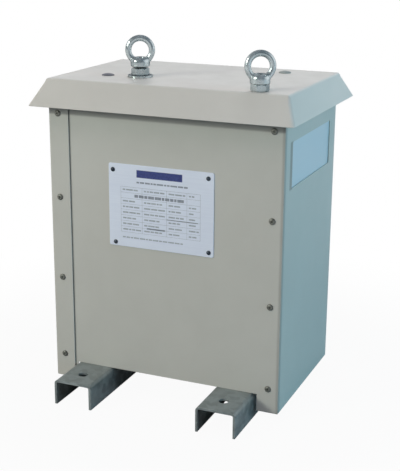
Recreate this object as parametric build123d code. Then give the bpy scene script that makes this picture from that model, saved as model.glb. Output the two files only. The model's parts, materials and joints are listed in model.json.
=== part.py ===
from build123d import *
import os
from math import cos, radians, tan

# Small enclosed dry-type power transformer: a folded sheet housing on two channel rails, with a
# flared drip hood and two lifting eyes. Millimetres, +Z up, +X to the right as seen from the front,
# the front faces -Y. The origin is on the floor, in the middle of the footprint.

# Housing
body_width = 300.0
body_depth = 202.0
sheet = 1.5
bend_radius = 2.5            # outside radius of the housing's folds
panel_low_z = 10.5           # lowest corners of the four panels
panel_top_z = 362.0
strip_width = 27.0           # fold of a side panel over the face of the next one
foot_notch_left = -119.2     # edges of the notch that clears the rails
foot_notch_right = 123.0

# Rails
rail_width = 50.0
rail_height = 32.0
rail_wall = 3.0
rail_bend_radius = 5.0
rail_length = 320.0
rail_x = 94.0
rail_hole_diameter = 12.0
rail_hole_y = 132.5

# Base pan and top deck
pan_sheet = 2.0
pan_flange = 20.0
deck_sheet = 3.0
deck_flange = 16.0
tray_corner_relief = 9.0
air_slot_width = 8.0
air_slot_length = 130.0
air_slot_pitch = 16.0
air_slot_columns = 7
deck_slot_x = 134.0
deck_slot_y = 36.0
deck_slot_length = 60.0

# Hood
hood_low_width = 334.0
hood_low_depth = 243.0
hood_low_z = 361.0
hood_top_width = 305.0
hood_top_depth = 197.0
hood_top_z = 392.5
hood_fold_radius = 4.0

# Opening in the right side and the plate that closes it
side_opening_width = 148.0
side_opening_height = 54.0
side_opening_y = 2.0
side_opening_z = 308.5
cover_lap = 8.0

# Nameplate
plate_width = 136.0
plate_height = 102.0
plate_thickness = 1.0
plate_x = -2.0
plate_z = 246.5
plate_corner = 2.5

# Lifting eyes: stud position and the turn of each ring about its stud, in degrees
left_eye = (-55.5, -41.5, 20.0)
right_eye = (113.0, -84.0, 30.0)
left_eye_lift = 1.8          # bare stud between the left lock nut and its eye
stud_diameter = 10.0
stud_below_mouth = 2.4       # the stud ends inside the base of its eye, so the mouth is open
head_across_flats = 17.0
head_height = 6.4
lock_nut_across_flats = 19.0
lock_nut_height = 8.2
eye_washer_diameter = 30.0
eye_washer_thickness = 2.5
eye_height = 37.5
ring_outer_diameter = 36.0
ring_bar_diameter = 7.5
ring_bar_sides = 12          # sides of the polygon that stands for the round bar
eye_base_diameter = 23.0
eye_base_height = 11.0
hole_clearance = 0.5
thread_clearance = 0.02

# Hood fixings, which stand on spacers as the lifting studs do
left_fixing = (-96.5, -47.0)
right_fixing = (92.0, 66.0)
spacer_across_flats = 15.0

# Core and windings
core_bottom_z = 42.0
core_height = 308.0
core_width = 234.0
leg_width = 50.0
leg_pitch = 92.0
stack_depth = 50.0
winding_width = 89.0
winding_depth = 98.0
winding_corner = 14.0
bobbin_wall = 2.0
bobbin_flange_depth = 106.0
bobbin_flange = 4.0
bobbin_flange_corner = 6.0
clamp_length = 280.0
clamp_wall = 5.0
clamp_out = 45.0             # leg that lies on the base pan or under the deck
clamp_up = 50.0              # leg that grips the yoke
tie_rod_x = 130.0
tie_rod_y = 62.0
tie_rod_diameter = 8.0

# Values worked out from the dimensions above
half_width = body_width / 2
half_depth = body_depth / 2
face_y = half_depth - sheet           # outer face of the front and back panels
deck_top_z = panel_top_z
deck_under_z = deck_top_z - deck_sheet
hood_under_z = hood_top_z - sheet
left_nut_seat_z = hood_top_z + eye_washer_thickness
left_eye_seat_z = left_nut_seat_z + lock_nut_height + left_eye_lift
right_nut_seat_z = hood_top_z
right_eye_seat_z = right_nut_seat_z + lock_nut_height
pan_top_z = rail_height + pan_sheet
window_low_z = core_bottom_z + leg_width
window_top_z = core_bottom_z + core_height - leg_width


def folded(points, wall, radius):
    """Closed outline of a sheet folded along a path of outer points; the wall lies to the left."""
    with BuildSketch() as outline:
        with BuildLine():
            FilletPolyline(*points, radius=radius)
            offset(amount=wall, side=Side.LEFT)
        make_face()
    return outline.sketch


def turned(part):
    """The same piece turned half a turn about the upright axis."""
    return Rot(0, 0, 180) * part


def rail():
    """Channel rail, open downwards, with a fixing hole near each end."""
    half = rail_width / 2
    section = folded([(half, 0), (half, rail_height), (-half, rail_height), (-half, 0)],
                     rail_wall, rail_bend_radius)
    channel = extrude(Plane.XZ * section, amount=rail_length / 2, both=True)
    hole = Cylinder(rail_hole_diameter / 2, 4 * rail_wall)
    for y in (-rail_hole_y, rail_hole_y):
        channel -= Pos(0, y, rail_height) * hole
    return channel


def front_panel():
    """Flat sheet with a wide notch at the bottom that leaves room for both rails."""
    left = -half_width + 2 * sheet
    right = half_width
    with BuildSketch(Plane.XZ.offset(face_y)) as outline:
        with BuildLine():
            Polyline((left, panel_top_z), (left, panel_low_z),
                     (foot_notch_left, panel_low_z), (foot_notch_left, rail_height),
                     (foot_notch_right, rail_height), (foot_notch_right, panel_low_z),
                     (right, panel_low_z), (right, panel_top_z), close=True)
        make_face()
    return extrude(outline.sketch, amount=-sheet)


def side_panel():
    """Left side: folded over the front panel at the front and under the back panel at the back."""
    inner_flange_y = face_y - sheet
    section = folded([(-half_width + strip_width, inner_flange_y), (-half_width, inner_flange_y),
                      (-half_width, -half_depth), (-half_width + strip_width, -half_depth)],
                     sheet, bend_radius)
    return Pos(0, 0, panel_low_z) * extrude(section, amount=panel_top_z - panel_low_z)


def side_opening():
    """Rounded cutter for the opening in the right side panel."""
    with BuildSketch(Plane.YZ.offset(half_width - 2 * bend_radius)) as outline:
        with Locations((side_opening_y, side_opening_z)):
            RectangleRounded(side_opening_width, side_opening_height, 2)
    return extrude(outline.sketch, amount=4 * bend_radius)


def side_cover_plate():
    """Plate fixed behind the opening in the right side."""
    with BuildSketch(Plane.YZ.offset(half_width - 2 * sheet)) as outline:
        with Locations((side_opening_y, side_opening_z)):
            RectangleRounded(side_opening_width + 2 * cover_lap, side_opening_height + 2 * cover_lap, 3)
    return extrude(outline.sketch, amount=sheet)


def nameplate():
    """Thin plate riveted to the front panel."""
    with BuildSketch(Plane.XZ.offset(face_y)) as outline:
        with Locations((plate_x, plate_z)):
            RectangleRounded(plate_width, plate_height, plate_corner)
    return extrude(outline.sketch, amount=plate_thickness)


def tray(wall, flange):
    """Tray folded up on all four sides with relieved corners, standing on z = 0."""
    half_x = half_width - sheet
    half_y = face_y - 2 * sheet
    fold = wall + 1
    across = folded([(half_x, flange), (half_x, 0), (-half_x, 0), (-half_x, flange)][::-1], wall, fold)
    along = folded([(half_y, flange), (half_y, 0), (-half_y, 0), (-half_y, flange)][::-1], wall, fold)
    part = extrude(Plane.XZ * across, amount=half_y - tray_corner_relief, both=True)
    part += extrude(Plane.YZ * along, amount=half_x - tray_corner_relief, both=True)
    return part


def slot_cutter(positions, length, depth):
    """Upright cutters for air slots that run along Y."""
    with BuildSketch() as outline:
        with Locations(*positions):
            SlotOverall(length, air_slot_width, rotation=90)
    return extrude(outline.sketch, amount=depth, both=True)


def base_pan():
    """Floor of the housing, on the rails, with air slots between them."""
    part = Pos(0, 0, rail_height) * tray(pan_sheet, pan_flange)
    first = -air_slot_pitch * (air_slot_columns - 1) / 2
    places = [(first + column * air_slot_pitch, 0) for column in range(air_slot_columns)]
    return part - Pos(0, 0, rail_height) * slot_cutter(places, air_slot_length, 2 * pan_sheet)


def top_deck():
    """Deck under the hood: it carries the lifting studs and has air slots at both ends."""
    part = Pos(0, 0, deck_top_z) * Rot(180, 0, 0) * tray(deck_sheet, deck_flange)
    places = [(x, y) for x in (-deck_slot_x, deck_slot_x) for y in (-deck_slot_y, deck_slot_y)]
    part -= Pos(0, 0, deck_top_z) * slot_cutter(places, deck_slot_length, 2 * deck_sheet)
    hole = Cylinder((stud_diameter + hole_clearance) / 2, 4 * deck_sheet)
    for x, y in (left_eye[:2], right_eye[:2]):
        part -= Pos(x, y, deck_top_z) * hole
    return part


def hood_form(inset, low_z, top_z, radius):
    """Block between two levels with four leaning sides, rounded at its hips and round its roof."""
    rise = hood_top_z - hood_low_z
    form = Pos(0, 0, (low_z + top_z) / 2) * Box(2 * hood_low_width, 2 * hood_low_depth, top_z - low_z)
    for low, top, along in ((hood_low_width, hood_top_width, Vector(1, 0, 0)),
                            (hood_low_depth, hood_top_depth, Vector(0, 1, 0))):
        for outward in (along, -along):
            leaning = (outward + Vector(0, 0, (low - top) / 2 / rise)).normalized()
            foot = outward * (low / 2) + Vector(0, 0, hood_low_z) - leaning * inset
            form = split(form, bisect_by=Plane(origin=foot, z_dir=leaning), keep=Keep.BOTTOM)
    hips = [edge for edge in form.edges() if abs(edge.tangent_at(0.5).Z) > 0.1]
    return fillet(list(form.faces().sort_by(Axis.Z)[-1].edges()) + hips, radius)


def hood():
    """Drip hood folded from one sheet: flat roof, four flared skirts and rounded hips."""
    part = hood_form(0, hood_low_z, hood_top_z, hood_fold_radius)
    part -= hood_form(sheet, hood_low_z - 2 * sheet, hood_under_z, hood_fold_radius - sheet)
    hole = Cylinder((stud_diameter + hole_clearance) / 2, 4 * sheet)
    for x, y in (left_eye[:2], right_eye[:2]):
        part -= Pos(x, y, hood_top_z) * hole
    return part


def hood_spacer(x, y):
    """Hexagon spacer between the deck and the underside of the hood."""
    height = hood_under_z - deck_top_z
    with BuildSketch() as ring:
        RegularPolygon(spacer_across_flats / 2, 6, major_radius=False)
        Circle((stud_diameter + hole_clearance) / 2, mode=Mode.SUBTRACT)
    return Pos(x, y, deck_top_z) * extrude(ring.sketch, amount=height)


def lifting_stud(x, y, seat_z, eye_seat_z):
    """Hexagon bolt with its head under seat_z and its shank up through deck, hood and lock nut into its eye."""
    top = eye_seat_z + eye_base_height - stud_below_mouth
    with BuildPart() as stud:
        with BuildSketch(Plane.XY.offset(seat_z)):
            RegularPolygon(head_across_flats / 2, 6, major_radius=False)
        extrude(amount=-head_height)
        with BuildSketch(Plane.XY.offset(seat_z)):
            Circle(stud_diameter / 2)
        extrude(amount=top - seat_z)
        chamfer(stud.edges().sort_by(Axis.Z)[-1], 1)
    return Pos(x, y, 0) * stud.part


def eye_washer(x, y):
    """Plain washer on the hood's roof."""
    with BuildSketch(Plane.XY.offset(hood_top_z)) as ring:
        with Locations((x, y)):
            Circle(eye_washer_diameter / 2)
            Circle((stud_diameter + 2 * hole_clearance) / 2, mode=Mode.SUBTRACT)
    return extrude(ring.sketch, amount=eye_washer_thickness)


def lock_nut(x, y, seat_z):
    """Hexagon nut under the eye, its upper corners chamfered at 30 degrees."""
    flat = lock_nut_across_flats / 2
    corner = flat / cos(radians(30))
    with BuildPart() as nut:
        with BuildSketch():
            RegularPolygon(flat, 6, major_radius=False)
            Circle(stud_diameter / 2 + thread_clearance, mode=Mode.SUBTRACT)
        extrude(amount=lock_nut_height)
        with BuildSketch(Plane.XZ):
            with BuildLine():
                Polyline((0, 0), (corner, 0), (corner, lock_nut_height - (corner - flat) * tan(radians(30))),
                         (flat, lock_nut_height), (0, lock_nut_height), close=True)
            make_face()
        revolve(axis=Axis.Z, mode=Mode.INTERSECT)
    return Pos(x, y, seat_z) * nut.part


def eye_nut(x, y, turn, seat_z):
    """Forged eye nut: a ring of round bar that grows out of a tapped base with a rounded shoulder."""
    ring_radius = (ring_outer_diameter - ring_bar_diameter) / 2
    base_radius = eye_base_diameter / 2
    with BuildPart() as ring:
        with BuildSketch(Plane.XZ):
            with Locations((ring_radius, 0)):
                RegularPolygon(ring_bar_diameter / 2, ring_bar_sides)
        revolve(axis=Axis.Z)
    with BuildPart() as base:
        with BuildSketch(Plane.XZ):
            with BuildLine():
                Polyline((0, 0), (base_radius - 0.8, 0), (base_radius, 0.8), (base_radius, 5.5),
                         (base_radius - 0.5, 7.7), (base_radius - 1.8, 9.7), (base_radius - 4, eye_base_height),
                         (0, eye_base_height), close=True)
            make_face()
        revolve(axis=Axis.Z)
    eye = base.part + Pos(0, 0, eye_height - ring_outer_diameter / 2) * Rot(90, 0, 0) * ring.part
    eye -= Cylinder(stud_diameter / 2 + thread_clearance, 2 * eye_base_height + 2)
    return Pos(x, y, seat_z) * Rot(0, 0, turn) * eye


def core():
    """Laminated core: two yokes and three legs cut as two windows in one stack."""
    with BuildSketch(Plane.XZ) as outline:
        with Locations((0, core_bottom_z + core_height / 2)):
            Rectangle(core_width, core_height)
        with Locations((-leg_pitch / 2, (window_low_z + window_top_z) / 2),
                       (leg_pitch / 2, (window_low_z + window_top_z) / 2)):
            Rectangle(leg_pitch - leg_width, window_top_z - window_low_z, mode=Mode.SUBTRACT)
    return extrude(outline.sketch, amount=stack_depth / 2, both=True)


def bobbin(x):
    """Former round one leg, as tall as the window, with a flange at each end."""
    inner = leg_width
    outer = inner + 2 * bobbin_wall
    height = window_top_z - window_low_z
    with BuildPart() as part:
        with BuildSketch(Plane.XY.offset(window_low_z)):
            with Locations((x, 0)):
                Rectangle(outer, outer)
        extrude(amount=height)
        for low in (window_low_z, window_top_z - bobbin_flange):
            with BuildSketch(Plane.XY.offset(low)):
                with Locations((x, 0)):
                    flange = Rectangle(leg_pitch - 1, bobbin_flange_depth)
                chamfer(flange.vertices(), bobbin_flange_corner)
            extrude(amount=bobbin_flange)
        with BuildSketch(Plane.XY.offset(window_low_z)):
            with Locations((x, 0)):
                Rectangle(inner, inner)
        extrude(amount=height, mode=Mode.SUBTRACT)
    return part.part


def winding(x):
    """Wound coil between the flanges of a bobbin."""
    hole = leg_width + 2 * bobbin_wall
    low = window_low_z + bobbin_flange
    with BuildSketch(Plane.XY.offset(low)) as outline:
        with Locations((x, 0)):
            RectangleRounded(winding_width, winding_depth, winding_corner)
            Rectangle(hole, hole, mode=Mode.SUBTRACT)
    return extrude(outline.sketch, amount=window_top_z - bobbin_flange - low)


def clamp(lower, bored):
    """Angle along the front of a yoke; a lower one stands on the pan, an upper one hangs under the deck."""
    near = -stack_depth / 2
    far = near - clamp_out
    seat = pan_top_z if lower else deck_under_z
    away = 1 if lower else -1
    with BuildSketch(Plane.YZ) as outline:
        with BuildLine():
            Polyline((near, seat + away * clamp_up), (near, seat), (far, seat), (far, seat + away * clamp_wall),
                     (near - clamp_wall, seat + away * clamp_wall),
                     (near - clamp_wall, seat + away * clamp_up), close=True)
        make_face()
    part = extrude(outline.sketch, amount=clamp_length / 2, both=True)
    if bored:
        hole = Cylinder((stud_diameter + hole_clearance) / 2, 4 * clamp_wall)
        part -= Pos(left_eye[0], left_eye[1], deck_under_z) * hole
    return part


def tie_rod(x, y):
    """Rod that ties an upper clamp to a lower one."""
    low = pan_top_z + clamp_wall
    high = deck_under_z - clamp_wall
    with BuildSketch(Plane.XY.offset(low)) as outline:
        with Locations((x, y)):
            Circle(tie_rod_diameter / 2)
    return extrude(outline.sketch, amount=high - low)


left_side = side_panel()
front = front_panel()
parts = {
    "left_rail": Pos(-rail_x, 0, 0) * rail(),
    "right_rail": Pos(rail_x, 0, 0) * rail(),
    "base_pan": base_pan(),
    "front_panel": front,
    "back_panel": turned(front),
    "left_side_panel": left_side,
    "right_side_panel": turned(left_side) - side_opening(),
    "side_cover_plate": side_cover_plate(),
    "nameplate": nameplate(),
    "top_deck": top_deck(),
    "hood": hood(),
    "core": core(),
    "front_lower_clamp": clamp(True, False),
    "front_upper_clamp": clamp(False, True),
    "back_lower_clamp": turned(clamp(True, False)),
    "back_upper_clamp": turned(clamp(False, False)),
}
for name, step in (("left", -1), ("middle", 0), ("right", 1)):
    parts[name + "_bobbin"] = bobbin(step * leg_pitch)
    parts[name + "_winding"] = winding(step * leg_pitch)
for depth_name, y in (("front", -tie_rod_y), ("back", tie_rod_y)):
    for width_name, x in (("left", -tie_rod_x), ("right", tie_rod_x)):
        parts[f"{depth_name}_{width_name}_tie_rod"] = tie_rod(x, y)
for name, place in (("left_eye", left_eye), ("right_eye", right_eye),
                    ("left_fixing", left_fixing), ("right_fixing", right_fixing)):
    parts[name + "_spacer"] = hood_spacer(place[0], place[1])
parts["left_eye_washer"] = eye_washer(left_eye[0], left_eye[1])
for name, place, head_seat, nut_seat, eye_seat in (
        ("left", left_eye, deck_under_z - clamp_wall, left_nut_seat_z, left_eye_seat_z),
        ("right", right_eye, deck_under_z, right_nut_seat_z, right_eye_seat_z)):
    parts[name + "_lifting_stud"] = lifting_stud(place[0], place[1], head_seat, eye_seat)
    parts[name + "_lock_nut"] = lock_nut(place[0], place[1], nut_seat)
    parts[name + "_eye_nut"] = eye_nut(*place, eye_seat)

os.makedirs("parts", exist_ok=True)
for name, shape in parts.items():
    export_step(shape, f"parts/{name}.step")
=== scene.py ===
"""Looks of a small enclosed dry-type power transformer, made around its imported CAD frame.

Lengths are millimetres, and a mesh is scaled to metres once, when it is made. +Z is up and the front
faces -Y, as in the frame. Each shape is a function of two parameters worked out as whole arrays.
"""
import json
import math

import bmesh
import bpy
import numpy as np
from mathutils import Matrix, Vector


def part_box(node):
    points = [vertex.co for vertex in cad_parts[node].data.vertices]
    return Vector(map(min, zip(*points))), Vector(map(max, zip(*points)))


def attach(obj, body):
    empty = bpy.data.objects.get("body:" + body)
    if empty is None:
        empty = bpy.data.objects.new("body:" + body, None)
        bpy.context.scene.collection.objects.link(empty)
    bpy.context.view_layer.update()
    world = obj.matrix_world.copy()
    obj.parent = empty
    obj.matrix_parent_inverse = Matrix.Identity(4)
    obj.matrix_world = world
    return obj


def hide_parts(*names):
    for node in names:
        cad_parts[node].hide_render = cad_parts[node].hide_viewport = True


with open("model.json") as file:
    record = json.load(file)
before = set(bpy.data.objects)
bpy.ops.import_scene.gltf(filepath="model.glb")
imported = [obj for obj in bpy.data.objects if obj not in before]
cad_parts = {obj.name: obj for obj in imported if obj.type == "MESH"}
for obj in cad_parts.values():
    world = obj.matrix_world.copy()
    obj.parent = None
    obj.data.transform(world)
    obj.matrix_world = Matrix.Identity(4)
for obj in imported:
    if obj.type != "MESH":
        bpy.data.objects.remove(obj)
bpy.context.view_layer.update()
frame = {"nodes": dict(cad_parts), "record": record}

MM = 0.001
NODE_SLOTS = {row["node"]: row["material_slot"] for row in frame["record"]["subparts"]}
ZINC_SLOT = "zinc_plated_steel"
PLATE_SLOT = "plate_aluminium"

# Housing
HALF_WIDTH = 150.0
HALF_DEPTH = 101.0
SHEET = 1.5
FACE_Y = HALF_DEPTH - SHEET          # outer face of the front and back panels
SEAM_X = -123.0                      # edge of the left side's front flange, on the front panel
SHEET_EASE = 0.35                    # width of the eased edges of a cut sheet

# Hood: half widths are along X and Y
HOOD_LOW = 361.0
HOOD_TOP = 392.5
HOOD_LOW_HALF = (167.0, 121.5)
HOOD_TOP_HALF = (152.5, 98.5)
HOOD_FOLD = 4.0                      # outer radius of the fold between roof and skirts
HOOD_LIP = 0.5                       # height at which the skirts are full, above the lowest edge
LIP_EASE = (0.35, 0.4)               # what the lip's edges lose sideways, and how far they reach down
ROOF_CORNER = 0.3                    # corner radius of the flat part of the roof

# Lifting eyes: place as seen from above, and turn of the ring in degrees
LEFT_EYE = (-55.5, -41.5, 20.0)
RIGHT_EYE = (113.0, -84.0, 30.0)
EYE_BASE_RADIUS = 11.5
EYE_BASE_HIGH = 11.0
EYE_HIGH = 37.5
RING_OUTER = 18.0
BAR = 3.75                           # radius of the ring's bar
BAR_SWELL = 0.9                      # what the bar's radius gains at the foot

# Studs, nuts and washer
STUD_RADIUS = 5.0
STUD_HEAD_ACROSS = 17.0
STUD_HEAD_HIGH = 6.4
STUD_POINT = 1.2                     # length of the chamfer at the top of a stud
THREAD_PITCH = 1.5
THREAD_DEPTH = 0.9
LOCK_NUT_ACROSS = 19.0
CHAMFER = math.radians(30)
CHAMFER_INSET = 0.25                 # how far inside the flats the chamfer meets the end face
WASHER_OUTER = 15.0
WASHER_EASE = 0.25
HEXAGON_STEPS = 96
TURNED_STEPS = 64

# Screws, rivets and hood fixings
SCREW_ROWS = tuple(41.2 + 103.4 * row for row in range(4))
SCREW_COLUMNS = ((-137.0, -HALF_DEPTH), (137.0, -FACE_Y))      # X, and the face that the heads sit on
SCREW_RADIUS = 3.8
SCREW_HIGH = 1.9
RECESS_REACH = 2.1
RECESS_ARM = 0.9
RECESS_DEPTH = 1.2
RIVET_RADIUS = 2.7
RIVET_HIGH = 1.5
RIVET_SIDE = 0.35                    # height of the upright side under the dome
HOOD_FIXINGS = ((-96.5, -47.0), (92.0, 66.0))
FIXING_RADIUS = 7.6
FIXING_HIGH = 2.4
FIXING_SIDE = 0.9

# Nameplate: places are X and Z
PLATE_CENTRE = (-2.0, 246.5)
PLATE_HALF = (68.0, 51.0)
PLATE_THICK = 1.0
PLATE_FACE_Y = -FACE_Y - PLATE_THICK
PLATE_RIVETS = ((-64.2, 289.6), (58.9, 290.2), (-61.7, 200.1), (59.8, 201.2))
INK_THICK = 0.05
INK_SUNK = 0.02                      # how far the print reaches into the plate


# Shader maths

class Wire:
    """One output socket of a shader tree, so that arithmetic on it adds the Math nodes."""

    def __init__(self, shading, socket):
        self.shading = shading
        self.socket = socket

    def maths(self, operation, first, second=0.0):
        """One Math node on two values."""
        return self.shading.node("ShaderNodeMath", {"operation": operation}, {0: first, 1: second})

    def __add__(self, other):
        return self.maths("ADD", self, other)

    def __sub__(self, other):
        return self.maths("SUBTRACT", self, other)

    def __rsub__(self, other):
        return self.maths("SUBTRACT", other, self)

    def __mul__(self, other):
        return self.maths("MULTIPLY", self, other)

    def __abs__(self):
        return self.maths("ABSOLUTE", self)

    __radd__ = __add__
    __rmul__ = __mul__

    def fraction(self):
        """What is left above the whole number below, so that a rising value starts again at each one."""
        return self.maths("FRACT", self)

    def ramp(self, low, high, start=0.0, end=1.0):
        """Smooth step from start to end while this value goes from low to high."""
        return self.shading.node("ShaderNodeMapRange", {"interpolation_type": "SMOOTHSTEP"},
                                 {"Value": self, "From Min": low, "From Max": high,
                                  "To Min": start, "To Max": end})

    def spread(self, start=0.0, end=1.0):
        """Smooth step from start to end over the middle of a noise, where most of its values lie."""
        return self.ramp(0.3, 0.7, start, end)

    def also(self, output):
        """Another output of the node that this one comes from."""
        return Wire(self.shading, self.socket.node.outputs[output])


class Shading:
    """The nodes of a material or of the world; place holds the coordinates that patterns follow."""

    def __init__(self, owner, output, coordinates):
        owner.use_nodes = True
        self.tree = owner.node_tree
        self.tree.nodes.clear()
        self.output = self.tree.nodes.new(output)
        self.place = self.node("ShaderNodeTexCoord", {}, {}, coordinates)

    def node(self, kind, settings, inputs, output=0):
        """Adds one node: its settings first, then the values or links of its sockets."""
        node = self.tree.nodes.new(kind)
        for key, value in settings.items():
            setattr(node, key, value)
        for key, value in inputs.items():
            if isinstance(value, Wire):
                self.tree.links.new(value.socket, node.inputs[key])
            else:
                node.inputs[key].default_value = value
        return Wire(self, node.outputs[output])

    def show(self, shader):
        """Sends a shader to the output, in place of any that was there."""
        self.tree.links.new(shader.socket, self.output.inputs["Surface"])

    def mixed(self, amount, first, second):
        """Shader that goes from the first to the second with amount."""
        return self.node("ShaderNodeMixShader", {}, {0: amount, 1: first, 2: second})

    def vectors(self, operation, first, second=(0, 0, 0), output=0):
        """One Vector Math node on two vectors, whose output 1 is a number such as a length."""
        return self.node("ShaderNodeVectorMath", {"operation": operation}, {0: first, 1: second}, output)

    def axes(self):
        """The three coordinates one by one."""
        split = self.node("ShaderNodeSeparateXYZ", {}, {0: self.place})
        return [split.also(axis) for axis in "XYZ"]


class Finish(Shading):
    """A procedural material with one Principled shader, on Object coordinates in millimetres."""

    def __init__(self, name, **constants):
        self.material = bpy.data.materials.new(name)
        super().__init__(self.material, "ShaderNodeOutputMaterial", "Object")
        self.place = self.node("ShaderNodeVectorMath", {"operation": "SCALE"},
                               {0: self.place, "Scale": 1 / MM})
        self.shader = self.node("ShaderNodeBsdfPrincipled", {},
                                {socket.replace("_", " "): value for socket, value in constants.items()})
        self.show(self.shader)

    def feed(self, socket, wire):
        """Links a value, colour or direction to a socket of the shader."""
        self.tree.links.new(wire.socket, self.shader.socket.node.inputs[socket])

    def stretched(self, x, y, z):
        """Object coordinates with each axis scaled."""
        return self.vectors("MULTIPLY", self.place, (x, y, z))

    def outside(self, low, high):
        """Distance in millimetres from a box given by two corners, and 0 inside it.

        It is the length of |place - centre| - half size, with 0 wherever an axis of that is below 0.
        """
        centre = [(first + last) / 2 for first, last in zip(low, high)]
        half = [(last - first) / 2 for first, last in zip(low, high)]
        from_centre = self.vectors("ABSOLUTE", self.vectors("SUBTRACT", self.place, centre))
        beyond = self.vectors("MAXIMUM", self.vectors("SUBTRACT", from_centre, half))
        return self.vectors("LENGTH", beyond, output=1)

    def noise(self, size, detail=2.0, roughness=0.5, place=None):
        """Soft noise from 0 to 1 whose blotches are about size millimetres across."""
        return self.node("ShaderNodeTexNoise", {},
                         {"Vector": place or self.place, "Scale": 1.0 / size, "Detail": detail,
                          "Roughness": roughness})

    def blend(self, amount, low, high):
        """Colour that goes from low to high with amount."""
        return self.node("ShaderNodeMix", {"data_type": "RGBA"}, {0: amount, 6: low, 7: high}, output=2)

    def colour(self, amount, low, high):
        """Feeds Base Color with a colour that goes from low to high with amount."""
        self.feed("Base Color", self.blend(amount, low, high))

    def bump(self, height, depth):
        """Feeds Normal with a relief whose height of 1 stands depth millimetres out."""
        self.feed("Normal", self.node("ShaderNodeBump", {},
                                      {"Strength": 1.0, "Distance": depth * MM, "Height": height}))


def tone(red, green, blue):
    """Linear colour with alpha from values of 0 to 255 as a screen shows them."""
    values = np.array([red, green, blue]) / 255
    linear = np.where(values <= 0.04045, values / 12.92, ((values + 0.055) / 1.055) ** 2.4)
    return (*linear.tolist(), 1.0)


# Mesh making

def placed(name, data):
    """New object of that name in the scene."""
    thing = bpy.data.objects.new(name, data)
    bpy.context.scene.collection.objects.link(thing)
    return thing


def dress(piece, material, replaced=(), smooth=35.0):
    """Gives a piece its finish and its smooth shading, and hangs it on the root body."""
    piece.data.materials.clear()
    piece.data.materials.append(material)
    piece.data.shade_smooth()
    piece.data.set_sharp_from_angle(angle=math.radians(smooth))
    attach(piece, "root")
    if replaced:
        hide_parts(*replaced)
    return piece


def new_piece(name, shells, material, replaced=(), smooth=35.0):
    """One object from shells, each an array of points with arrays of faces that count from its own zero."""
    points = np.concatenate([shell[0] for shell in shells])
    starts = np.cumsum([0] + [len(shell[0]) for shell in shells[:-1]])
    faces = [part + start for shell, start in zip(shells, starts) for part in shell[1]]
    corners = np.concatenate([part.ravel() for part in faces]).astype(np.int32)
    counts = np.concatenate([np.full(len(part), part.shape[1]) for part in faces])
    mesh = bpy.data.meshes.new(name)
    mesh.vertices.add(len(points))
    mesh.vertices.foreach_set("co", (points * MM).astype(np.float32).ravel())
    mesh.loops.add(len(corners))
    mesh.loops.foreach_set("vertex_index", corners)
    mesh.polygons.add(len(counts))
    mesh.polygons.foreach_set("loop_start", (np.cumsum(counts) - counts).astype(np.int32))
    mesh.update(calc_edges=True)
    mesh.validate()
    return dress(placed(name, mesh), material, replaced, smooth)


def wound(rows, columns):
    """Faces of a grid of rows by columns, whose columns close round."""
    row, column = np.meshgrid(np.arange(rows - 1), np.arange(columns), indexing="ij")
    here = row * columns + column
    side = row * columns + (column + 1) % columns
    return np.stack([here, side, side + columns, here + columns], axis=-1).reshape(-1, 4)


def stack(rings):
    """Closed shell from rings of points, low to high and anticlockwise, with flat ends."""
    rows, columns = rings.shape[:2]
    first = np.arange(columns)
    ends = [first[::-1][None], (first + (rows - 1) * columns)[None]]
    return rings.reshape(-1, 3), [wound(rows, columns), *ends]


def looped(rings):
    """Closed shell from rings whose last ring joins the first, as on a tube bent into itself."""
    rows, columns = rings.shape[:2]
    return rings.reshape(-1, 3), [wound(rows + 1, columns) % (rows * columns)]


def full_turn(steps):
    """Angles of a whole turn in equal steps, without its end."""
    return np.arange(steps) * 2 * np.pi / steps


def about_axis(radius, angle, height):
    """Rings about the upright axis: a point is its radius times (cos, sin) of its angle, at its height."""
    x = radius * np.cos(angle)
    y = radius * np.sin(angle)
    return np.stack([x, y, np.broadcast_to(height, x.shape)], axis=-1)


def lathe(profile, steps):
    """Turned rings: each row of the profile is a radius and a height."""
    profile = np.asarray(profile, float)
    return about_axis(profile[:, :1], full_turn(steps), profile[:, 1:])


def oblongs(levels):
    """Rings of rounded oblongs: each level is half width, half depth, corner radius and height.

    A point is the centre of its corner's arc plus the radius times (cos, sin) of its angle.
    """
    corner_steps = 7
    half_x, half_y, radius, height = np.asarray(levels, float).T[:, :, None]
    quarter = np.linspace(0, np.pi / 2, corner_steps)
    angle = (quarter[None] + np.arange(4)[:, None] * np.pi / 2).ravel()
    side_x = np.repeat([1, -1, -1, 1], corner_steps)
    side_y = np.repeat([1, 1, -1, -1], corner_steps)
    centres = np.stack([side_x * (half_x - radius), side_y * (half_y - radius),
                        np.zeros((len(height), len(angle)))], axis=-1)
    return centres + about_axis(radius, angle, height)


def moved(shell, matrix):
    """The shell carried by a 4 by 4 matrix that turns and moves it."""
    points, faces = shell
    matrix = np.array(matrix)
    return points @ matrix[:3, :3].T + matrix[:3, 3], faces


def turned(degrees, axis="Z"):
    """Matrix that turns about an axis."""
    return Matrix.Rotation(math.radians(degrees), 4, axis)


def at(x, y, z, turn=0.0):
    """Matrix that turns by degrees about the upright axis and then moves."""
    return Matrix.Translation((x, y, z)) @ turned(turn)


def facing_front(x, y, z):
    """Matrix that stands a shape up, so that its upper side faces the front."""
    return Matrix.Translation((x, y, z)) @ turned(90, "X")


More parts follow.
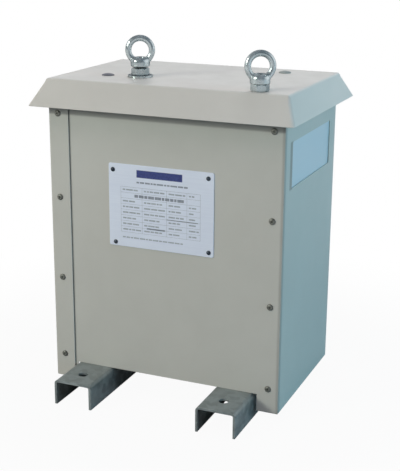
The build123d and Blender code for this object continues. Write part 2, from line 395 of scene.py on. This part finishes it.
def softened(node, material):
    """Stands in for a CAD node: its own surface with merged corners, whole flat faces and eased edges."""
    name = node + "_sheet"
    mesh = frame["nodes"][node].data.copy()
    mesh.name = name
    work = bmesh.new()
    work.from_mesh(mesh)
    bmesh.ops.remove_doubles(work, verts=work.verts, dist=0.01 * MM)
    bmesh.ops.dissolve_limit(work, angle_limit=math.radians(0.5), verts=work.verts, edges=work.edges)
    work.to_mesh(mesh)
    work.free()
    piece = placed(name, mesh)
    ease = piece.modifiers.new("eased edges", "BEVEL")
    ease.width = SHEET_EASE * MM
    ease.segments = 2
    ease.limit_method = "ANGLE"
    ease.angle_limit = math.radians(40)
    ease.harden_normals = True
    return dress(piece, material, (node,))


# Finishes

# Dark colour for painted shade beside joints, recesses and under the hood's lip, and for grime at the seam
SHADE_AND_GRIME = tone(70, 72, 72)
SHADE_AND_GRIME_FADE = (0.4, 3.4)              # distances from a box between which painted shade and grime go from full to none


def powder_coat(name, dull, fresh, gloss, shade_and_grime_boxes=()):
    """Semi-gloss powder coat: a fine orange peel, broad clouds in tone, and handling marks in the gloss.

    Painted shade (grime too at the seam) lies by each box of two corners with a share, fading over 3 mm
    from it.
    """
    coat = Finish(name, Specular_IOR_Level=0.4)
    clouds = coat.noise(150, detail=3)
    marks = coat.noise(30, detail=5, roughness=0.62)
    paint = coat.blend((clouds * 0.6 + marks * 0.4).spread(), dull, fresh)
    for low, high, share in shade_and_grime_boxes:
        off = coat.outside(low, high) + marks * 0.8
        # each box blends the paint towards the dark colour: painted shade, with some grime at the seam
        paint = coat.blend(off.ramp(*SHADE_AND_GRIME_FADE, share, 0.0), paint, SHADE_AND_GRIME)
    coat.feed("Base Color", paint)
    coat.feed("Roughness", marks.spread(gloss - 0.05, gloss + 0.08))
    peel = coat.noise(1.7, roughness=0.4)
    waves = coat.noise(45, detail=1)
    coat.bump(peel * 0.8 + waves * 6, depth=0.022)
    return coat.material


def light_grey(name, shade_and_grime_boxes=()):
    """The light grey powder coat of the housing's own sheets."""
    return powder_coat(name, tone(198, 196, 189), tone(203, 201, 194), 0.36, shade_and_grime_boxes)


def galvanised():
    """Hot-dipped zinc gone dull: crystals a few millimetres across, each its own tone, with white bloom."""
    crystal_size = 7.0
    zinc = Finish("galvanised_steel", Metallic=0.75)
    crystal = zinc.node("ShaderNodeTexVoronoi", {"feature": "F1"},
                        {"Vector": zinc.place, "Scale": 1 / crystal_size, "Randomness": 1.0}, output=1)
    tint = zinc.node("ShaderNodeSeparateColor", {}, {0: crystal})
    bloom = zinc.noise(16, detail=5, roughness=0.65)
    mix = tint * 0.35 + bloom * 0.65
    zinc.colour(mix.spread(), tone(150, 157, 157), tone(174, 181, 181))
    zinc.feed("Roughness", mix.spread(0.42, 0.62))
    zinc.bump(zinc.noise(2.6, detail=3), depth=0.03)
    return zinc.material


def bright_zinc(name, dark, light, gloss=0.2):
    """Bright zinc plate over a forged or turned surface: soft ripples, with duller patches."""
    # the dark specular tint darkens the reflection at grazing angles: painted dark edges, standing in for
    # dark surroundings
    zinc = Finish(name, Metallic=0.85, Specular_Tint=tone(40, 46, 56))
    patch = zinc.noise(9, detail=4, roughness=0.6)
    zinc.colour(patch.spread(), dark, light)
    zinc.feed("Roughness", patch.spread(gloss - 0.04, gloss + 0.12))
    zinc.bump(zinc.noise(3.2, detail=3), depth=0.05)
    return zinc.material


def satin_aluminium():
    """Anodised plate brushed along X, printed later with its own inks."""
    anodised = Finish("plate_aluminium", Metallic=0.12)
    brushed = anodised.noise(1.0, roughness=0.6, place=anodised.stretched(0.012, 1.0, 1.4))
    grain = brushed * 0.6 + anodised.noise(30, detail=3) * 0.4
    anodised.colour(grain.ramp(0.25, 0.75), tone(226, 232, 248), tone(234, 240, 254))
    anodised.feed("Roughness", grain.spread(0.36, 0.46))
    anodised.bump(brushed, depth=0.008)
    return anodised.material


def ink(name, pale, full):
    """Screen-printed enamel, a little uneven."""
    enamel = Finish(name, Roughness=0.5)
    enamel.colour(enamel.noise(2.5, detail=4).spread(), pale, full)
    return enamel.material


def lamination_edges():
    """Edges of half-millimetre steel sheets under varnish: a line for each sheet, across the stack."""
    sheets_per_mm = 2.0
    steel = Finish("core_laminations", Metallic=0.4, Roughness=0.45)
    line = (steel.axes()[1] * sheets_per_mm).fraction()
    seam = abs(line - 0.5).ramp(0.32, 0.5)
    stain = steel.noise(18, detail=4, roughness=0.6)
    steel.colour(stain.spread(), tone(58, 56, 54), tone(92, 86, 80))
    steel.bump(stain - seam, depth=0.06)
    return steel.material


def varnished_tape():
    """Woven tape wound round the coil in bands that overlap by a third, soaked in brown varnish."""
    band_wide = 18.0
    lean = 0.012
    tape = Finish("varnished_winding")
    x, y, z = tape.axes()
    band = (z * (1 / band_wide) + (x + y) * lean).fraction()
    lap = band.ramp(0.0, 0.08) * band.ramp(1.0, 0.9)
    weave = tape.noise(1.2, place=tape.stretched(1.0, 1.0, 0.4))
    soak = tape.noise(22, detail=4)
    tape.colour((lap * 0.5 + soak * 0.5).ramp(0.2, 0.8), tone(92, 52, 26), tone(150, 98, 52))
    tape.feed("Roughness", soak.spread(0.25, 0.45))
    tape.bump(lap + weave * 0.4, depth=0.25)
    return tape.material


def pressed_board():
    """Cream pressboard with its felted fibres."""
    board = Finish("bobbin_board", Roughness=0.8)
    fibre = board.noise(2.2, detail=5, roughness=0.7, place=board.stretched(1.0, 0.3, 1.0))
    board.colour(fibre.spread(), tone(196, 176, 132), tone(222, 206, 168))
    board.bump(fibre, depth=0.08)
    return board.material


def dark_primer():
    """Dark grey primer with a dusty bloom."""
    primer = Finish("clamp_paint", Roughness=0.6)
    dust = primer.noise(20, detail=5, roughness=0.65)
    primer.colour(dust.ramp(0.35, 0.7), tone(58, 60, 62), tone(84, 86, 88))
    primer.bump(primer.noise(1.8, detail=3), depth=0.05)
    return primer.material


# Where painted shade lies, with some grime at the seam: two corners of a box, and its share right beside
# the box. COVER_EDGE is a painted shadow in a strip along the near edge of the opening in front of the
# cover plate.
# SEAM: painted shadow of the left flange's edge on the front panel, with some grime in the joint
SEAM = ((SEAM_X, -HALF_DEPTH, 0), (SEAM_X, -FACE_Y, HOOD_TOP), 0.8)
# CORNER: painted shade along the front-right corner joint
CORNER = ((HALF_WIDTH - SHEET, -FACE_Y, 0), (HALF_WIDTH, 4.5 - FACE_Y, HOOD_TOP), 0.3)
COVER_EDGE = ((HALF_WIDTH - SHEET, -79.0, 282.0), (HALF_WIDTH, -72.0, 335.0), 0.5)
# UNDER_LIP: painted shadow under the hood's lip, deepening the lamps' own shadow there
UNDER_LIP = ((-HALF_WIDTH, -HALF_DEPTH, HOOD_LOW - 9.0), (HALF_WIDTH, -FACE_Y, HOOD_LOW), 0.45)

FINISHES = {
    "housing_paint": light_grey("housing_paint"),
    "cover_plate_paint": powder_coat("cover_plate_paint", tone(210, 216, 222), tone(216, 221, 226), 0.34),
    PLATE_SLOT: satin_aluminium(),
    "galvanised_steel": galvanised(),
    ZINC_SLOT: bright_zinc("zinc_plated_steel", tone(194, 204, 206), tone(226, 234, 236)),
    "core_laminations": lamination_edges(),
    "varnished_winding": varnished_tape(),
    "bobbin_board": pressed_board(),
    "clamp_paint": dark_primer(),
}
# Copies of the housing paint that carry painted shade beside their joints, the cover's opening and the
# hood's lip
OWN_PAINT = {
    "front_panel": light_grey("front_panel_paint", (SEAM, CORNER, UNDER_LIP)),
    "left_side_panel": light_grey("left_side_paint", (UNDER_LIP,)),
    "right_side_panel": light_grey("right_side_paint", (CORNER, COVER_EDGE)),
}
SCREW_STEEL = bright_zinc("screw_steel", tone(122, 122, 116), tone(152, 152, 145), 0.45)
DARK_STEEL = bright_zinc("blackened_steel", tone(60, 66, 76), tone(92, 98, 108), 0.4)
CAP_DARK = ink("fixing_dark_grey", tone(90, 92, 102), tone(112, 114, 122))
CAP_LIGHT = ink("fixing_light_grey", tone(134, 142, 138), tone(152, 158, 154))
BLUE_INK = ink("blue_ink", tone(48, 58, 122), tone(60, 72, 136))
DARK_INK = ink("dark_ink", tone(132, 138, 150), tone(154, 160, 170))
GREY_INK = ink("grey_ink", tone(158, 164, 172), tone(176, 182, 190))

for node_name, node in frame["nodes"].items():
    for material_slot in node.material_slots:
        material_slot.material = FINISHES[NODE_SLOTS[node_name]]


# Sheet pieces

for node_name in ("front_panel", "back_panel", "left_side_panel", "right_side_panel", "side_cover_plate",
                  "nameplate", "left_rail", "right_rail"):
    softened(node_name, OWN_PAINT.get(node_name, FINISHES[NODE_SLOTS[node_name]]))


# Hood

def leaning_half(low_half, top_half, height, top, radius, inset):
    """Half width of the hood at a height: a leaning straight side that turns into the roof through an arc.

    The side loses its slope times the height above the hood's foot, and the arc is its centre plus
    sqrt(radius squared - height above the centre squared). The arc takes over where the two touch.
    """
    slope = (low_half - top_half) / (HOOD_TOP - HOOD_LOW)
    flat = math.hypot(1, slope)
    straight = low_half - inset * flat - slope * (height - HOOD_LOW)
    centre_z = top - radius
    centre = low_half - inset * flat - slope * (centre_z - HOOD_LOW) - radius * flat
    arc = centre + np.sqrt(np.clip(radius ** 2 - np.clip(height - centre_z, 0, None) ** 2, 0, None))
    touch = centre_z + radius * slope / flat
    return np.where(height < touch, straight, arc)


def hood_levels(top, radius, inset):
    """Levels of one side of the hood's sheet, from its lip up to where the roof is flat.

    The corner's radius goes from the roof's own to that of the fold, as the half depth grows downwards.
    """
    low = HOOD_LOW + HOOD_LIP
    bend = top - radius + radius * np.sin(np.linspace(0.3, np.pi / 2, 9))
    side = [low, low + 1.2, low + 12, top - radius - 1.0]
    height = np.concatenate([side, bend])
    half_x, half_y = (leaning_half(low_half, top_half, height, top, radius, inset)
                      for low_half, top_half in zip(HOOD_LOW_HALF, HOOD_TOP_HALF))
    side_y, roof_y = half_y[len(side) - 1], half_y[-1]
    round_share = np.clip((half_y - roof_y) / (side_y - roof_y), 0, 1)
    corner = ROOF_CORNER + (radius + ROOF_CORNER) * round_share
    levels = np.stack([half_x, half_y, corner, height], axis=-1)
    flat_roof = levels[-1] - [1.0, 1.0, 0.0, 0.0]
    return np.concatenate([levels, flat_roof[None]])


def make_hood():
    """Hood as one closed shell: down the inside of the sheet, round the lip and up the outside."""
    outside = hood_levels(HOOD_TOP, HOOD_FOLD, 0.0)
    inside = hood_levels(HOOD_TOP - SHEET, HOOD_FOLD - SHEET, SHEET)
    ease, down = LIP_EASE
    lip = np.array([inside[0] + [ease, ease, 0, -down], outside[0] - [ease, ease, 0, down]])
    return stack(oblongs(np.concatenate([inside[::-1], lip, outside])))


new_piece("hood_sheet", [make_hood()], FINISHES["housing_paint"], ("hood",), smooth=40)


# Lifting eyes

def hexagon_rings(across, height, rise):
    """Rings of a hexagon with chamfered corners, one at each height.

    At each angle the radius is the hexagon's or the chamfer cone's, whichever is less. The cone's goes
    up with the rise, which is the height above or below the nearer chamfered end.
    """
    angle = full_turn(HEXAGON_STEPS)
    hexagon = across / 2 / np.cos((angle + np.pi / 6) % (np.pi / 3) - np.pi / 6)
    cone = across / 2 - CHAMFER_INSET + rise / math.tan(CHAMFER)
    return about_axis(np.minimum(hexagon[None], cone[:, None]), angle, height[:, None])


def hexagon_nut(across, high, bore):
    """Hexagon nut, chamfered at both ends, with a bore that widens at both mouths."""
    mouth = 0.9
    steps = np.array([0, 0.25, 0.6, 1.1, 1.7])
    height = np.concatenate([steps, high - steps[::-1]])
    outside = hexagon_rings(across, height, np.minimum(height, high - height))
    hole = lathe([(bore + mouth, high), (bore, high - mouth), (bore, mouth), (bore + mouth, 0)],
                 HEXAGON_STEPS)
    return looped(np.concatenate([outside, hole]))


def hexagon_head(across, low, high):
    """Bolt head: a hexagon chamfered at its lower end."""
    height = np.array([low, low + 0.3, low + 0.8, low + 1.6, high])
    return stack(hexagon_rings(across, height, height - low))


def threaded_shank(low, high):
    """Threaded rod: its radius goes up and down once a pitch, and its phase turns with the angle."""
    angle = full_turn(40)
    height = np.linspace(low, high, round(6 * (high - low) / THREAD_PITCH))[:, None]
    turn = (height / THREAD_PITCH - angle / (2 * np.pi)) % 1
    point = np.clip(STUD_POINT - (high - height), 0, None)
    return stack(about_axis(STUD_RADIUS - point - THREAD_DEPTH * np.abs(2 * turn - 1), angle, height))


def washer(outer, inner, thick):
    """Plain washer with eased rims."""
    edge = WASHER_EASE
    profile = [(inner, edge), (inner + edge, 0), (outer - edge, 0), (outer, edge), (outer, thick - edge),
               (outer - edge, thick), (inner + edge, thick), (inner, thick - edge)]
    return looped(lathe(profile, TURNED_STEPS))


def ring_of_bar():
    """Ring of round bar standing on edge: the bar thickens a little towards the foot that it grows from."""
    round_ring = full_turn(96)
    round_bar = full_turn(28)
    foot = np.clip((-np.sin(round_ring) - 0.45) / 0.55, 0, 1) ** 2
    bar = (BAR + BAR_SWELL * foot)[:, None]
    reach = RING_OUTER - BAR + bar * np.cos(round_bar)
    x = reach * np.cos(round_ring)[:, None]
    z = reach * np.sin(round_ring)[:, None] + EYE_HIGH - RING_OUTER
    return looped(np.stack([x, bar * np.sin(round_bar), z], axis=-1))


def eye_base():
    """Turned foot of the eye, open at its bore: a shoulder that rounds over as a quarter of an ellipse."""
    shoulder = np.linspace(0, np.pi / 2, 7)
    round_in, round_up = 4.0, 5.4
    foot_ease, mouth = 0.8, 0.6
    rounding = np.stack([EYE_BASE_RADIUS - round_in + round_in * np.cos(shoulder),
                         EYE_BASE_HIGH - round_up + round_up * np.sin(shoulder)], axis=-1)
    bore = STUD_RADIUS + 0.35
    profile = np.concatenate([
        [(bore, foot_ease), (bore + foot_ease, 0), (EYE_BASE_RADIUS - foot_ease, 0),
         (EYE_BASE_RADIUS, foot_ease)],
        rounding,
        [(bore + mouth, EYE_BASE_HIGH), (bore, EYE_BASE_HIGH - mouth)]])
    return looped(lathe(profile, TURNED_STEPS))


def level(node):
    """Lowest and highest Z of a CAD node, in millimetres."""
    return [corner[2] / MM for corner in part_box(node)]


def forged_eye(side, x, y, turn):
    """Eye nut: ring and foot are merged into one skin, which softens the crease between them."""
    seat = at(x, y, level(side + "_eye_nut")[0], turn)
    piece = new_piece(side + "_forged_eye", [moved(ring_of_bar(), seat), moved(eye_base(), seat)],
                      FINISHES[ZINC_SLOT], (side + "_eye_nut",), smooth=60)
    skin = piece.modifiers.new("one skin", "REMESH")
    skin.mode = "VOXEL"
    skin.voxel_size = 0.5 * MM
    skin.use_smooth_shade = True
    ease = piece.modifiers.new("forged softness", "SMOOTH")
    ease.factor = 0.5
    ease.iterations = 6
    bpy.context.view_layer.update()
    settled = bpy.data.meshes.new_from_object(piece.evaluated_get(bpy.context.evaluated_depsgraph_get()))
    piece.modifiers.clear()
    piece.data = settled
    piece.data.shade_smooth()


for side, (x, y, turn) in (("left", LEFT_EYE), ("right", RIGHT_EYE)):
    forged_eye(side, x, y, turn)
    low, high = level(side + "_lock_nut")
    lock_nut = hexagon_nut(LOCK_NUT_ACROSS, high - low, STUD_RADIUS + 0.1)
    new_piece(side + "_chamfered_nut", [moved(lock_nut, at(x, y, low))], FINISHES[ZINC_SLOT],
              (side + "_lock_nut",))
    low, high = level(side + "_lifting_stud")
    seat = low + STUD_HEAD_HIGH
    stud = hexagon_head(STUD_HEAD_ACROSS, low, seat), threaded_shank(seat, high)
    new_piece(side + "_threaded_stud", [moved(shell, at(x, y, 0)) for shell in stud], SCREW_STEEL,
              (side + "_lifting_stud",), smooth=60)

low, high = level("left_eye_washer")
eye_washer = washer(WASHER_OUTER, STUD_RADIUS + 0.5, high - low)
new_piece("left_plain_washer", [moved(eye_washer, at(LEFT_EYE[0], LEFT_EYE[1], low))],
          FINISHES[ZINC_SLOT], ("left_eye_washer",))


# Screws, rivets and fixings

def cross_head():
    """Pan head with a cross recess: a domed height over radius and angle, less a depth near the two arms.

    The recess has sides that slope over a third of a millimetre, and it is deepest in the middle.
    """
    angle = full_turn(TURNED_STEPS)
    share = np.concatenate([np.linspace(0.02, 0.62, 13), [0.72, 0.82, 0.9, 0.96, 1.0]])[:, None]
    distance = share * SCREW_RADIUS
    dome = SCREW_HIGH * (1 - np.clip((share - 0.45) / 0.55, 0, 1) ** 2.4 * 0.62)
    off_arm = distance * np.abs(np.sin((angle + np.pi / 4) % (np.pi / 2) - np.pi / 4))
    within_arm = np.clip((RECESS_ARM / 2 - off_arm) / 0.35, 0, 1)
    within_reach = np.clip((RECESS_REACH - distance) / 0.4, 0, 1)
    depth = RECESS_DEPTH * (within_arm * within_reach) * (1 - 0.35 * distance / RECESS_REACH)
    rings = about_axis(distance, angle, dome - depth)
    foot = lathe([(SCREW_RADIUS, 0.0)], TURNED_STEPS)
    return stack(np.concatenate([foot, rings[::-1]]))


def dome_head(radius, high, side):
    """Low domed head: an upright side and a cap whose height falls with the square of the radius."""
    share = np.array([1.0, 0.97, 0.9, 0.75, 0.55, 0.3, 0.08])
    height = side + (high - side) * (1 - share ** 2)
    profile = np.concatenate([[(radius, 0.0)], np.stack([radius * share, height], axis=-1)])
    return stack(lathe(profile, 40))


# Each screw was driven home at an angle of its own, which its row and column give in degrees
screw_head = cross_head()
cover_screws = [moved(screw_head, facing_front(x, y, height) @ turned(37 * row + 61 * column))
                for row, height in enumerate(SCREW_ROWS) for column, (x, y) in enumerate(SCREW_COLUMNS)]
new_piece("front_cover_screws", cover_screws, SCREW_STEEL, smooth=45)
new_piece("back_cover_screws", [moved(screw, turned(180)) for screw in cover_screws], SCREW_STEEL,
          smooth=45)

rivet_head = dome_head(RIVET_RADIUS, RIVET_HIGH, RIVET_SIDE)
new_piece("nameplate_rivets", [moved(rivet_head, facing_front(x, PLATE_FACE_Y, z))
                               for x, z in PLATE_RIVETS], DARK_STEEL, smooth=45)

fixing_head = dome_head(FIXING_RADIUS, FIXING_HIGH, FIXING_SIDE)
for side, (x, y), cap in zip(("left", "right"), HOOD_FIXINGS, (CAP_DARK, CAP_LIGHT)):
    new_piece(side + "_hood_fixing", [moved(fixing_head, at(x, y, HOOD_TOP))], cap, smooth=45)


# Printing on the nameplate

def printed(boxes):
    """Thin printed oblongs, each a row of left, right, lower and upper edge on the plate's face."""
    boxes = np.asarray(boxes, float)
    left, right, low, high = boxes.T
    corner_x = np.stack([left, right, right, left], axis=-1)
    corner_z = np.stack([low, low, high, high], axis=-1)
    back = np.stack([corner_x, np.full_like(corner_x, PLATE_FACE_Y + INK_SUNK), corner_z], axis=-1)
    front = back - [0, INK_THICK + INK_SUNK, 0]
    points = np.concatenate([back, front], axis=1).reshape(-1, 3)
    quads = np.array([[4, 5, 6, 7], [3, 2, 1, 0], [0, 1, 5, 4], [1, 2, 6, 5], [2, 3, 7, 6], [3, 0, 4, 7]])
    faces = quads[None] + 8 * np.arange(len(boxes))[:, None, None]
    return points, [faces.reshape(-1, 4)]


def printed_words(draw, left, right, middle, high):
    """Strokes like a line of small print: lengths of 2.4 to 9 mm with gaps of 1 mm, up to the right end."""
    gap = 1.0
    ends = left + np.cumsum(draw.uniform(2.4, 9.0, 24) + gap)
    starts = np.concatenate([[left], ends[:-1]])
    keep = ends - gap < right
    low_edge, high_edge = (np.full(keep.sum(), middle + half) for half in (-high / 2, high / 2))
    return np.stack([starts[keep], ends[keep] - gap, low_edge, high_edge], axis=-1)


def print_plate():
    """Generic rating table: a plain blue band, ruled rows, and strokes that stand for print.

    Places are offsets from the plate's middle, and heights are offsets from its top edge.
    """
    draw = np.random.default_rng(11)
    mid_x, mid_z = PLATE_CENTRE
    top = mid_z + PLATE_HALF[1]
    rule = 0.15                      # half the width of a ruled line
    row_high = 7.0
    filled_rows = (0, 2, 3, 4, 5, 6, 7)
    table_down = 27.5
    rules_z = top - table_down - row_high * np.arange(9)
    columns = mid_x + np.array([-52, -24, 8, 34, 51])
    band = [(mid_x - 31, mid_x + 28, top - 15.0, top - 6.0)]
    bold = [printed_words(draw, mid_x - 31, mid_x + 40, top - 21.0, 1.9),
            printed_words(draw, mid_x - 34, mid_x + 34, rules_z[0] - 1.5 * row_high, 3.4),
            [(mid_x + 8, mid_x + 48, rules_z[5] - 0.5, rules_z[5] + 0.5),
             (mid_x - 18, mid_x + 6, rules_z[7] - 0.9, rules_z[7] + 0.9)]]
    rules = [(columns[0], columns[-1], z - rule, z + rule) for z in rules_z]
    rules += [(x - rule, x + rule, rules_z[-1], rules_z[0]) for x in columns]
    small = [printed_words(draw, left + 2.5, right - 1.5, rules_z[0] - row_high * (row + 0.5), 1.7)
             for row in filled_rows for left, right in zip(columns[:-1], columns[1:])]
    small.append(printed_words(draw, mid_x - 50, mid_x + 30, top - 90.0, 1.6))
    new_piece("nameplate_band", [printed(band)], BLUE_INK)
    new_piece("nameplate_bold_print", [printed(np.concatenate(bold))], DARK_INK)
    new_piece("nameplate_print", [printed(np.concatenate([rules, *small]))], GREY_INK)


print_plate()


# Studio

CAMERA_PLACE = (512.5, -1202.5, 578.6)
CAMERA_ANGLES = (22.82, 16.65, 0.38)          # azimuth, elevation and roll in degrees
CAMERA_LENS = 81.61
CAMERA_SENSOR = 36.0
WHITE = (1, 1, 1, 1)
AMBIENT = (0.17, 0.20, 0.22, 1)
DIM_STUDIO = (0.12, 0.14, 0.16, 1)
FLOOR_GREY = (0.4, 0.4, 0.4, 1)
FLOOR_HALF = 6000.0


def make_camera():
    """Camera at the photograph's place: 22.8 degrees round to the right and 16.7 above the level."""
    azimuth, elevation, roll = (math.radians(value) for value in CAMERA_ANGLES)
    back = Vector((math.sin(azimuth) * math.cos(elevation), -math.cos(azimuth) * math.cos(elevation),
                   math.sin(elevation)))
    sideways = Vector((math.cos(azimuth), math.sin(azimuth), 0))
    raised = back.cross(sideways)
    right = math.cos(roll) * sideways + math.sin(roll) * raised
    up = -math.sin(roll) * sideways + math.cos(roll) * raised
    data = bpy.data.cameras.new("camera")
    data.sensor_width = CAMERA_SENSOR
    data.lens = CAMERA_LENS
    camera = placed("camera", data)
    view = Matrix((right, up, back)).transposed().to_4x4()
    camera.matrix_world = Matrix.Translation(Vector(CAMERA_PLACE) * MM) @ view
    bpy.context.scene.camera = camera


def soft_lamp(name, place, aim, size, power, colour, mirrored):
    """Square lamp that faces a point, in metres and watts; one that isn't mirrored gives no highlight."""
    data = bpy.data.lights.new(name, "AREA")
    data.shape = "SQUARE"
    data.size = size
    data.energy = power
    data.color = colour
    lamp = placed(name, data)
    lamp.location = place
    lamp.visible_glossy = mirrored
    lamp.rotation_mode = "QUATERNION"
    lamp.rotation_quaternion = (Vector(aim) - Vector(place)).to_track_quat("-Z", "Y")


def make_world():
    """White to the camera, a plain level of ambient light, and a studio for polished surfaces to mirror.

    That studio is white behind and low, and dim in front and above: its white share is a smooth step
    along Y times a smooth step down Z.
    """
    world = bpy.data.worlds.new("studio")
    bpy.context.scene.world = world
    studio = Shading(world, "ShaderNodeOutputWorld", "Generated")
    white, light, dim = (studio.node("ShaderNodeBackground", {}, {"Color": colour, "Strength": 1.0})
                         for colour in (WHITE, AMBIENT, DIM_STUDIO))
    y, z = studio.axes()[1:]
    behind = y.ramp(-0.45, 0.15)
    below = z.ramp(0.8, 0.4)
    mirrored = studio.mixed(behind * below, dim, white)
    ray = studio.node("ShaderNodeLightPath", {}, {})
    seen = studio.mixed(ray.also("Is Glossy Ray"), light, mirrored)
    seen = studio.mixed(ray.also("Is Transmission Ray"), seen, white)
    studio.show(studio.mixed(ray.also("Is Camera Ray"), seen, white))


def make_floor():
    """Plain pale floor: it shows white to the camera, but keeps a share of the object's shadow.

    Its glow, for the camera and for polished surfaces, grows by smooth steps with the distance from the
    upright axis.
    """
    corners = FLOOR_HALF * MM * np.array([[-1, -1, 0], [1, -1, 0], [1, 1, 0], [-1, 1, 0]])
    mesh = bpy.data.meshes.new("floor")
    mesh.from_pydata(corners.tolist(), [], [(0, 1, 2, 3)])
    floor = placed("floor", mesh)
    pale = Finish("floor_white", Base_Color=FLOOR_GREY, Roughness=0.9)
    ray = pale.node("ShaderNodeLightPath", {}, {})
    radius = pale.vectors("LENGTH", pale.stretched(1, 1, 0), output=1)
    seen = ray.also("Is Camera Ray") * radius.ramp(230, 600, 0.95, 1.0)
    mirrored = ray.also("Is Glossy Ray") * radius.ramp(250, 1300, 0.0, 0.5)
    glow = pale.node("ShaderNodeEmission", {}, {"Color": WHITE, "Strength": 1.0})
    pale.show(pale.mixed(seen + mirrored, pale.shader, glow))
    mesh.materials.append(pale.material)


make_camera()
make_world()
make_floor()
soft_lamp("key", place=(-1.7, -2.2, 1.25), aim=(0, 0, 0.25), size=0.7, power=36,
          colour=(0.946, 1.0, 0.898), mirrored=True)
soft_lamp("top", place=(0.0, -1.0, 2.3), aim=(0, 0, 0.35), size=1.5, power=13,
          colour=(1.0, 0.74, 0.77), mirrored=False)
soft_lamp("roof", place=(0.0, 0.9, 2.3), aim=(0, 0, 0.35), size=1.2, power=19,
          colour=(0.9, 0.93, 1.0), mirrored=False)
soft_lamp("fill", place=(2.6, -0.1, 0.9), aim=(0, 0, 0.2), size=1.4, power=31,
          colour=(0.27, 0.76, 1.0), mirrored=False)

bpy.context.scene.view_settings.view_transform = "Standard"
